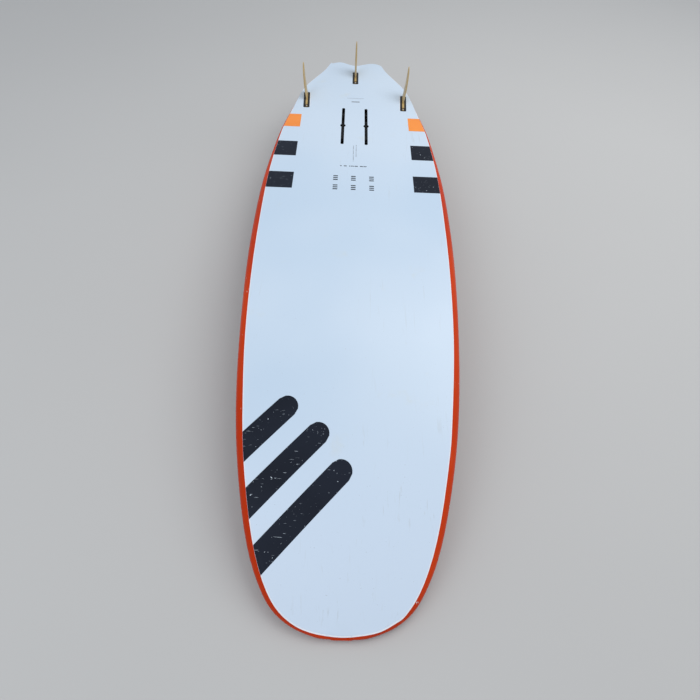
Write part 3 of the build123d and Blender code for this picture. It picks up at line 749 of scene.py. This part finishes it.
def puff(piece, plane):
    """Blows the sleeve up between its sewn lines with a short cloth run."""
    group = piece.vertex_groups.new(name="held")
    rest = [v.co.copy() for v in piece.data.vertices]
    count = len(rest)
    ring = len(cover_section())
    for i, co in enumerate(rest):
        side = off_centre(plane, co)
        sewn = abs(side - STITCH_LINE) < SEWN_HALF_WIDTH or side > STITCH_LINE + HEM
        at_end = i < 2 * ring or i >= count - 2 * ring
        if sewn or at_end:
            group.add([i], 1.0, "REPLACE")
    cloth = piece.modifiers.new("cloth", "CLOTH")
    settings = cloth.settings
    settings.quality = 6
    settings.mass = 0.2
    settings.tension_stiffness = 12
    settings.compression_stiffness = 12
    settings.bending_stiffness = 0.6
    settings.use_pressure = True
    settings.uniform_pressure_force = 4.0
    settings.vertex_group_mass = "held"
    settings.effector_weights.gravity = 0.0
    cloth.point_cache.frame_start = 1
    cloth.point_cache.frame_end = PUFF_FRAMES
    scene = bpy.context.scene
    for f in range(1, PUFF_FRAMES + 1):
        scene.frame_set(f)
    view = bpy.context.evaluated_depsgraph_get()
    moved = piece.evaluated_get(view).to_mesh()
    final = []
    for a, b in zip(rest, moved.vertices):
        step = b.co - a
        if step.length > PUFF_LIMIT:
            step = step.normalized() * PUFF_LIMIT
        final.append(a + step)
    piece.evaluated_get(view).to_mesh_clear()
    piece.modifiers.remove(cloth)
    for v, co in zip(piece.data.vertices, final):
        v.co = co
    scene.frame_set(1)


def settle_seams(piece, plane):
    """Draws the sewn lines in a little on both faces."""
    normals = [v.normal.copy() for v in piece.data.vertices]
    for v, normal in zip(piece.data.vertices, normals):
        pull = math.exp(-(((off_centre(plane, v.co) - STITCH_LINE) / STITCH_DENT_WIDTH) ** 2))
        v.co = v.co - normal * (STITCH_DENT * pull)


def apply_modifiers(piece):
    """Makes the modifiers' result the piece's own mesh."""
    view = bpy.context.evaluated_depsgraph_get()
    view.update()
    done = bpy.data.meshes.new_from_object(piece.evaluated_get(view))
    piece.modifiers.clear()
    piece.data = done


# A stitch's rings: how far along it each is, and its size as a share of the thread's radius.
STITCH_RINGS = ((0.0, 0.35), (0.18, 0.95), (0.5, 1.1), (0.82, 0.95), (1.0, 0.35))
STITCH_SIDES = 6


def thread_loops(name, rows, radius, material):
    """Stitches: short rounded threads from one point to the next."""
    bm = bmesh.new()
    for a, b, lift in rows:
        run = (b - a).normalized()
        side = run.cross(lift).normalized()
        rings = []
        for share, size in STITCH_RINGS:
            centre = a.lerp(b, share) + lift * (radius * (1.6 * math.sin(math.pi * share) - 0.5))
            ring = []
            for k in range(STITCH_SIDES):
                angle = 2 * math.pi * k / STITCH_SIDES
                offset = side * math.cos(angle) + lift * math.sin(angle)
                ring.append(bm.verts.new(centre + offset * radius * size))
            rings.append(ring)
        bridge_rings(bm, rings)
        bm.faces.new(rings[0])
        bm.faces.new(rings[-1])
    bmesh.ops.recalc_face_normals(bm, faces=bm.faces)
    piece = piece_from(name, bm)
    shade_smooth(piece.data)
    piece.data.materials.append(material)
    return piece


def stitching(name, cover, plane, material):
    """Two sewn lines on each face of a cover, laid on its finished surface."""
    tree = tree_of(cover.data)
    _, run, out, top = plane
    line = arch(top, 2 * COVER_STEPS)
    rows = []
    for face in (1, -1):
        for side in (-STITCH_LINE, STITCH_LINE):
            points = []
            for p, normal in line[3:-3]:
                lift = (run * normal.x + out * normal.y) * face
                start = placed(plane, side, p) + lift * 0.02
                hit = tree.ray_cast(start, -lift)[0]
                points.append((hit, lift))
            for (a, lift), (b, _) in list(zip(points, points[1:]))[::2]:
                rows.append((a, b, lift))
    return thread_loops(name, rows, STITCH_RADIUS, material)


stitch_thread = thread("stitch_thread", (0.42, 0.43, 0.45))
for place, plane in STRAPS.items():
    cover = cover_mesh(f"{place}_strap_padding", plane)
    puff(cover, plane)
    settle_seams(cover, plane)
    smooth = cover.modifiers.new("smooth", "SUBSURF")
    smooth.levels = 1
    smooth.render_levels = 1
    apply_modifiers(cover)
    shade_smooth(cover.data)
    # The second colour is the padding weave's crests, painted lighter: painted light.
    cloth = strap_cloth(f"{place}_padding_cloth", plane[:3], (0.02, 0.021, 0.024), (0.06, 0.062, 0.068), 330)
    cover.data.materials.append(cloth)
    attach(cover, "board")
    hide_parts(f"{place}_strap_cover")
    stitches = stitching(f"{place}_strap_stitching", cover, plane, stitch_thread)
    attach(stitches, "board")


# ---- deck pads ----
# Each pad's middle across the board and from the nose, its width and its length.
PADS = {
    "front_left": (-0.15, 1.408, 0.205, 0.262),
    "front_right": (0.15, 1.408, 0.205, 0.262),
    "rear": (0.0, 1.775, 0.320, 0.310),
}
PAD_CORNER = 0.048
PAD_INNER_CORNER = 0.006
PAD_THICKNESS = 0.008
PAD_BEVEL = 0.009
PAD_GROOVES = (0.0184, 0.0299)
PAD_GROOVE_DEPTH = 0.0022
PAD_GROOVE_WIDTH = 0.0011
# Distances in from the rim of a pad's rings of points, closest over the bevel and the two grooves.
PAD_INSETS = (
    0.0, 0.0006, 0.003, 0.006, PAD_BEVEL, 0.0125, 0.016, 0.0172, 0.0184, 0.0196, 0.0208, 0.024, 0.0275,
    0.0287, 0.0299, 0.0311, 0.0323, 0.036, 0.042,
)
PAD_FIELD_RINGS = 12
PAD_POINTS = 168
PAD_SUNK = 0.0008
WEBBING_GAP = 0.0004
THINNEST_PAD = 0.0005
HOLE_STEP = 0.002


def rounded_outline(wide, long, corner, count):
    """Evenly spread points of a rounded rectangle about its middle."""
    points = []
    x0, y0 = wide / 2 - corner, long / 2 - corner
    straight = 2 * (x0 + y0) * 2
    total = straight + 2 * math.pi * corner
    parts = [
        ("line", Vector((x0 + corner, -y0)), Vector((0, 1)), 2 * y0),
        ("arc", Vector((x0, y0)), 0.0, corner * math.pi / 2),
        ("line", Vector((x0, y0 + corner)), Vector((-1, 0)), 2 * x0),
        ("arc", Vector((-x0, y0)), math.pi / 2, corner * math.pi / 2),
        ("line", Vector((-x0 - corner, y0)), Vector((0, -1)), 2 * y0),
        ("arc", Vector((-x0, -y0)), math.pi, corner * math.pi / 2),
        ("line", Vector((-x0, -y0 - corner)), Vector((1, 0)), 2 * x0),
        ("arc", Vector((x0, -y0)), 1.5 * math.pi, corner * math.pi / 2),
    ]
    for i in range(count):
        s = total * i / count
        for kind, start, turn, size in parts:
            if s <= size:
                break
            s -= size
        if kind == "line":
            points.append(start + turn * s)
        else:
            angle = turn + s / corner
            points.append(start + Vector((math.cos(angle), math.sin(angle))) * corner)
    return points


def deck_height(x, y):
    """Height of the deck's outer surface, which faces down. In a screw hole, that on its two sides."""
    hit = deck.ray_cast(Vector((x, y, BELOW)), UP)[0]
    if hit is not None:
        return hit.z
    reach = HOLE_STEP
    while True:
        sides = [deck.ray_cast(Vector((x, y + s * reach, BELOW)), UP)[0] for s in (-1, 1)]
        if None not in sides:
            return (sides[0].z + sides[1].z) / 2
        reach += HOLE_STEP


def pad_height(inset):
    """How far a pad stands off the deck at a distance in from its rim."""
    rise = math.sin(min(1.0, inset / PAD_BEVEL) * math.pi / 2)
    height = PAD_THICKNESS * min(1.0, 0.28 + 0.72 * rise)
    for groove in PAD_GROOVES:
        height -= PAD_GROOVE_DEPTH * math.exp(-(((inset - groove) / PAD_GROOVE_WIDTH) ** 2))
    return height


def pad_rows(wide, long):
    """Rings of a pad's points about its middle, each with its distance in from the rim."""
    rows = []
    for inset in PAD_INSETS:
        corner = max(PAD_CORNER - inset, PAD_INNER_CORNER)
        rows.append((inset, rounded_outline(wide - 2 * inset, long - 2 * inset, corner, PAD_POINTS)))
    core = rows[-1][1]
    for k in range(1, PAD_FIELD_RINGS):
        rows.append((PAD_INSETS[-1] + 0.004 * k, [p * (1 - k / PAD_FIELD_RINGS) for p in core]))
    return rows


def pad_piece(name, outline, webbing, material):
    """A moulded foam pad with a bevelled rim and two rim grooves, on the deck and under the webbing."""
    x, distance, wide, long = outline
    middle = Vector((x, at(distance)))
    bm = bmesh.new()
    rows = pad_rows(wide, long)
    rings = [[bm.verts.new((*(middle + p), deck_height(*(middle + p)) + PAD_SUNK)) for p in rows[0][1]]]
    for inset, points in rows:
        ring = []
        for p in points:
            q = middle + p
            ground = deck_height(q.x, q.y)
            height = pad_height(inset)
            hit = webbing.ray_cast(Vector((q.x, q.y, ground - 0.0001)), -UP, 0.03)[0]
            if hit is not None:
                height = min(height, max(THINNEST_PAD, ground - hit.z - WEBBING_GAP))
            ring.append(bm.verts.new((q.x, q.y, ground - height)))
        rings.append(ring)
    bridge_rings(bm, rings)
    tip = bm.verts.new((*middle, deck_height(*middle) - PAD_THICKNESS))
    last = rings[-1]
    for i in range(len(last)):
        bm.faces.new((last[i], last[(i + 1) % len(last)], tip))
    bmesh.ops.recalc_face_normals(bm, faces=bm.faces)
    low = min(bm.faces, key=lambda f: f.calc_center_median().z)
    if low.normal.z > 0:
        bmesh.ops.reverse_faces(bm, faces=bm.faces)
    piece = piece_from(name, bm)
    shade_smooth(piece.data)
    piece.data.materials.append(material)
    return piece


eva = pad_foam()
for place, outline in PADS.items():
    piece = pad_piece(f"{place}_foot_pad", outline, surface(f"{place}_strap_webbing"), eva)
    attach(piece, "board")
    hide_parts(f"{place}_pad")


# ---- finishes of the CAD pieces ----
def dress(name, material):
    for slot in nodes[name].material_slots:
        slot.material = material


black_plastic = moulded_plastic("black_plastic", (0.0035, 0.0035, 0.004), (0.007, 0.007, 0.008))
nut_metal = moulded_plastic("dark_nut_finish", (0.010, 0.010, 0.011), (0.022, 0.022, 0.024), 500, 0.4)
stainless = steel("stainless_finish", (0.50, 0.50, 0.49), (0.66, 0.66, 0.65), 0.3)
vent_metal = steel("vent_finish", (0.42, 0.43, 0.44), (0.55, 0.56, 0.57), 0.34)
washer = moulded_plastic("washer_finish", (0.02, 0.02, 0.022), (0.035, 0.035, 0.037), 700, 0.42)
plug = moulded_plastic("plug_finish", (0.35, 0.34, 0.30), (0.45, 0.44, 0.40), 700, 0.5)
seal = rubber("seal_finish")
core_foam = foam("core_foam_finish", (0.62, 0.62, 0.60), (0.82, 0.82, 0.80), 210)
dense_foam = foam("dense_foam_finish", (0.50, 0.47, 0.33), (0.68, 0.64, 0.46), 900)

dress("bottom_skin", bottom_paint())
dress("deck_skin", deck_paint())
dress("foam_core", core_foam)
for name in ("foil_track_block", "mast_track_block"):
    dress(name, dense_foam)
for name in ("left_foil_track", "right_foil_track", "mast_track"):
    dress(name, black_plastic)
for end in ("front", "rear"):
    for side in ("left", "right"):
        dress(f"{end}_{side}_foil_nut", nut_metal)

# Each fin's plane: its root's middle, the way across it, the way back along its box, and its lean's sign.
FINS = {
    "left": (
        vec(-0.198, 0.759, 0.217935), vec(0.999048, 0.043619, 0), vec(-0.043614, 0.998933, -0.015178), -1,
    ),
    "right": (
        vec(0.198, 0.759, 0.217935), vec(0.999048, -0.043619, 0), vec(0.043614, 0.998933, -0.015178), 1,
    ),
    "center": (vec(0, 0.968, 0.212741), vec(1, 0, 0), vec(0, 0.999405, -0.034504), 0),
}
for side, (origin, across, chord, lean) in FINS.items():
    dress(f"{side}_fin_box", black_plastic)
    dress(f"{side}_fin", fin_laminate(f"{side}_laminate", (origin, across, chord), lean * SIDE_FIN_CANT))
    for part in ("screw", "nut", "pin"):
        dress(f"{side}_fin_{part}", stainless)
for place, plane in STRAPS.items():
    # The second colour is the webbing weave's crests, painted lighter: painted light.
    cloth = strap_cloth(f"{place}_webbing_cloth", plane[:3], (0.012, 0.012, 0.014), (0.045, 0.046, 0.05), 210)
    dress(f"{place}_strap_webbing", cloth)
    dress(f"{place}_strap_screws", stainless)
    dress(f"{place}_strap_washers", washer)
    dress(f"{place}_strap_plugs", plug)
dress("vent_housing", washer)
dress("vent_screw", vent_metal)
dress("vent_seal", seal)


# ---- floor, light and camera ----
FLOOR_HALF_SIZE = 60.0
FLOOR_DROP = 0.0005


def area_light(name, place, aim, size, power, colour):
    """A square soft light, in metres and watts."""
    light = bpy.data.lights.new(name, "AREA")
    light.shape = "RECTANGLE"
    light.size = size
    light.size_y = size
    light.energy = power
    light.color = colour
    lamp = bpy.data.objects.new(name, light)
    lamp.location = place
    lamp.rotation_euler = (Vector(aim) - Vector(place)).to_track_quat("-Z", "Y").to_euler()
    bpy.context.scene.collection.objects.link(lamp)


def floor_plane():
    mesh = bpy.data.meshes.new("studio_floor")
    corners = [(x * FLOOR_HALF_SIZE, y * FLOOR_HALF_SIZE, 0) for x, y in ((-1, -1), (1, -1), (1, 1), (-1, 1))]
    mesh.from_pydata(corners, [], [(0, 1, 2, 3)])
    mesh.materials.append(studio_floor_paint())
    piece = object_from("studio_floor", mesh)
    piece.location.z = -FLOOR_DROP


floor_plane()
world = bpy.data.worlds.new("studio_sky")
world.use_nodes = True
sky = world.node_tree.nodes["Background"]
sky.inputs["Color"].default_value = (0.88, 0.93, 1.0, 1.0)
sky.inputs["Strength"].default_value = 0.66
bpy.context.scene.world = world
area_light("key_light", (1.8, 0.8, 3.2), (0.0, 0.1, 0.1), 2.8, 60.0, (1.0, 0.99, 0.97))
area_light("fill_light", (-2.0, -1.6, 2.8), (0.0, 0.0, 0.1), 2.4, 26.0, (0.95, 0.98, 1.0))

camera_data = bpy.data.cameras.new("camera")
camera_data.lens = 24.686
camera_data.sensor_width = 36.0
camera_data.clip_start = 0.02
camera = bpy.data.objects.new("camera", camera_data)
right = vec(0.9993, 0.0171, 0.0339)
up = vec(-0.0336, 0.8138, 0.5801)
back = vec(-0.0176, -0.5809, 0.8138)
turn = Matrix((right, up, back)).transposed().to_4x4()
camera.matrix_world = Matrix.Translation((-0.0211, -1.2172, 1.2298)) @ turn
bpy.context.scene.collection.objects.link(camera)
bpy.context.scene.camera = camera
bpy.context.scene.view_settings.view_transform = "Standard"
